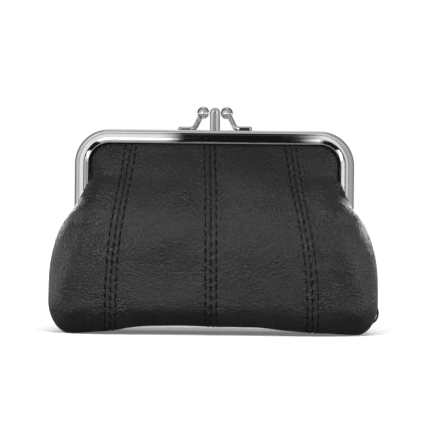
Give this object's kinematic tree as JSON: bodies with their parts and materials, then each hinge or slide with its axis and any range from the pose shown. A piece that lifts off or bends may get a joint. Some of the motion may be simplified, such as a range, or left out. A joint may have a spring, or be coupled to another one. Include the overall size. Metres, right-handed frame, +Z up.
{
  "type": "kiss lock frame purse",
  "caption": "Soft leather coin purse with two compartments in a hinged metal frame, closed by a pair of ball-ended arms that snap past a centre post.",
  "frame": {"origin": "on the surface that the purse stands on, under the middle of the base", "axes": "+X along the frame to the right as seen from the front, +Z up, the front faces -Y"},
  "size_m": [0.1343, 0.0486, 0.0914],
  "materials": {
    "black_leather": "semi-gloss, fine pebbled grain",
    "chrome_plate": "polished plating on folded steel sheet",
    "lining_cloth": "matt plain weave",
    "twisted_paper": "matt twisted paper cord",
    "ring_wire": "dark plated wire"
  },
  "bodies": {
    "pouch": {"middle_frame": "chrome_plate", "left_hinge_pin": "chrome_plate", "right_hinge_pin": "chrome_plate", "clasp_post": "chrome_plate", "front_panel_1_lower": "black_leather", "front_panel_2_lower": "black_leather", "front_panel_3_lower": "black_leather", "front_panel_4_lower": "black_leather", "rear_panel_1_lower": "black_leather", "rear_panel_2_lower": "black_leather", "rear_panel_3_lower": "black_leather", "rear_panel_4_lower": "black_leather", "front_lining_lower": "lining_cloth", "rear_lining_lower": "lining_cloth", "divider_front_cloth": "lining_cloth", "divider_rear_cloth": "lining_cloth", "ring_tab": "black_leather"},
    "front": {"front_frame": "chrome_plate", "front_clasp_arm": "chrome_plate", "front_clasp_ball": "chrome_plate", "front_paper_cord": "twisted_paper", "front_panel_1_upper": "black_leather", "front_panel_2_upper": "black_leather", "front_panel_3_upper": "black_leather", "front_panel_4_upper": "black_leather", "front_lining_upper": "lining_cloth"},
    "rear": {"rear_frame": "chrome_plate", "rear_clasp_arm": "chrome_plate", "rear_clasp_ball": "chrome_plate", "rear_paper_cord": "twisted_paper", "rear_panel_1_upper": "black_leather", "rear_panel_2_upper": "black_leather", "rear_panel_3_upper": "black_leather", "rear_panel_4_upper": "black_leather", "rear_lining_upper": "lining_cloth"},
    "ring": {"key_ring": "ring_wire"}
  },
  "joints": [
    {"name": "front_frame_hinge", "type": "hinge", "parent": "pouch", "child": "front", "pos_m": [0, 0, 0.043], "axis": [1, 0, 0], "range_deg": [0, 35]},
    {"name": "rear_frame_hinge", "type": "hinge", "parent": "pouch", "child": "rear", "pos_m": [0, 0, 0.043], "axis": [-1, 0, 0], "range_deg": [0, 35]},
    {"name": "key_ring_swing", "type": "hinge", "parent": "pouch", "child": "ring", "pos_m": [0.06257, 0.01596, 0.0147], "axis": [0.7115, -0.7027, 0], "range_deg": [-12, 63]}
  ]
}
